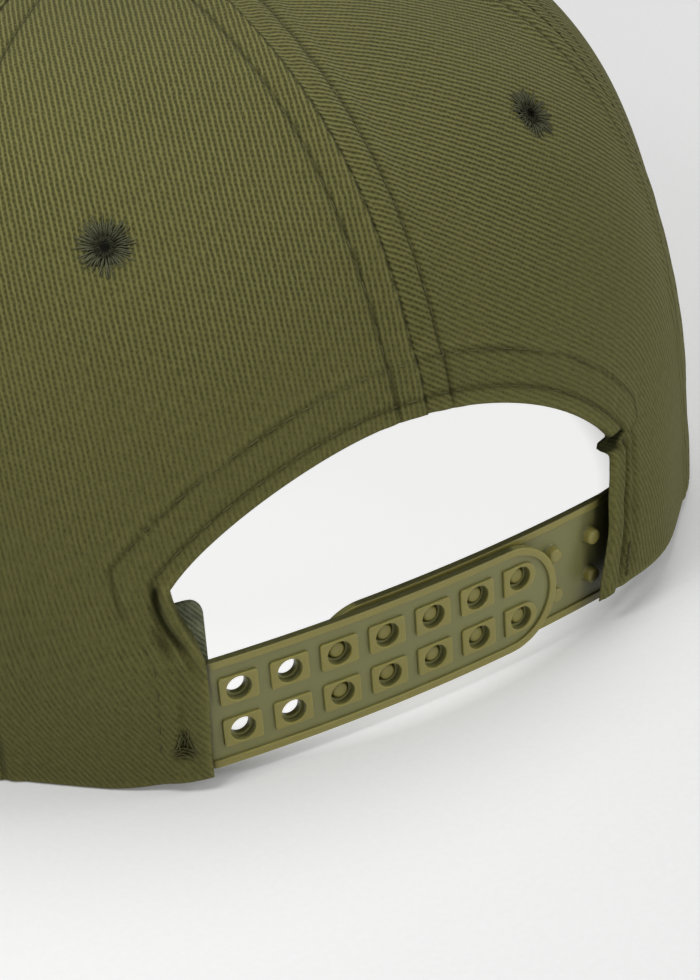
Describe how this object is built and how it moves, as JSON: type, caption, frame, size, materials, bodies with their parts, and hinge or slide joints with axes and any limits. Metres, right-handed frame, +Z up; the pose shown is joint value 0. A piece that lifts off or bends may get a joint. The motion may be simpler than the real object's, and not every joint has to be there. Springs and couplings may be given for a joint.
{
  "type": "baseball cap",
  "caption": "Panelled twill cap with a curved visor, arched back opening and a plastic snap closure of overlapping straps with pegs and holes.",
  "frame": {"origin": "middle of the head opening, in the plane that the crown's lower edge rests on", "axes": "+Z up, +Y towards the back opening and the snap closure, +X towards the wearer's left; the visor points to -Y"},
  "size_m": [0.188, 0.2557, 0.113],
  "materials": {
    "twill": "matte cotton twill, olive green",
    "thread": "spun polyester sewing thread, darker olive",
    "seam_tape": "woven cotton tape, olive green",
    "sweatband": "matte cotton twill, olive green",
    "padding": "soft non-woven interlining",
    "buckram": "stiff open-weave buckram",
    "visor_board": "moulded polyethylene sheet",
    "button_metal": "pressed steel",
    "snap_plastic": "soft moulded plastic with a satin skin, olive"
  },
  "bodies": {
    "cap": {"arch_facing": "seam_tape", "back_eyelet_left": "thread", "back_eyelet_right": "thread", "back_panel_left": "twill", "back_panel_right": "twill", "back_seam_tape_left": "seam_tape", "back_seam_tape_right": "seam_tape", "centre_back_seam_tape": "seam_tape", "centre_front_seam_tape": "seam_tape", "front_eyelet_left": "thread", "front_eyelet_right": "thread", "front_panel_left": "twill", "front_panel_right": "twill", "front_seam_tape_left": "seam_tape", "front_seam_tape_right": "seam_tape", "front_stiffener_left": "buckram", "front_stiffener_right": "buckram", "inner_strap_anchor": "snap_plastic", "left_tab_bartack": "thread", "outer_strap_anchor": "snap_plastic", "right_tab_bartack": "thread", "side_eyelet_left": "thread", "side_eyelet_right": "thread", "side_panel_left": "twill", "side_panel_right": "twill", "sweatband_cover": "sweatband", "sweatband_padding": "padding", "top_button_cover": "twill", "top_button_shell": "button_metal", "top_button_tack": "button_metal", "visor_board": "visor_board", "visor_top_cover": "twill", "visor_under_cover": "twill"},
    "outer_strap": {"outer_strap": "snap_plastic"},
    "inner_strap": {"inner_strap": "snap_plastic"}
  },
  "joints": [
    {"name": "outer_strap_bend", "type": "hinge", "parent": "cap", "child": "outer_strap", "pos_m": [0.0411, 0.084, 0.0126], "axis": [0, 0, -1], "range_deg": [0, 60], "stiffness_Nm_per_rad": 0.01},
    {"name": "inner_strap_bend", "type": "hinge", "parent": "cap", "child": "inner_strap", "pos_m": [-0.0368, 0.0817, 0.0126], "axis": [0, 0, -1], "range_deg": [0, 50], "stiffness_Nm_per_rad": 0.01}
  ]
}
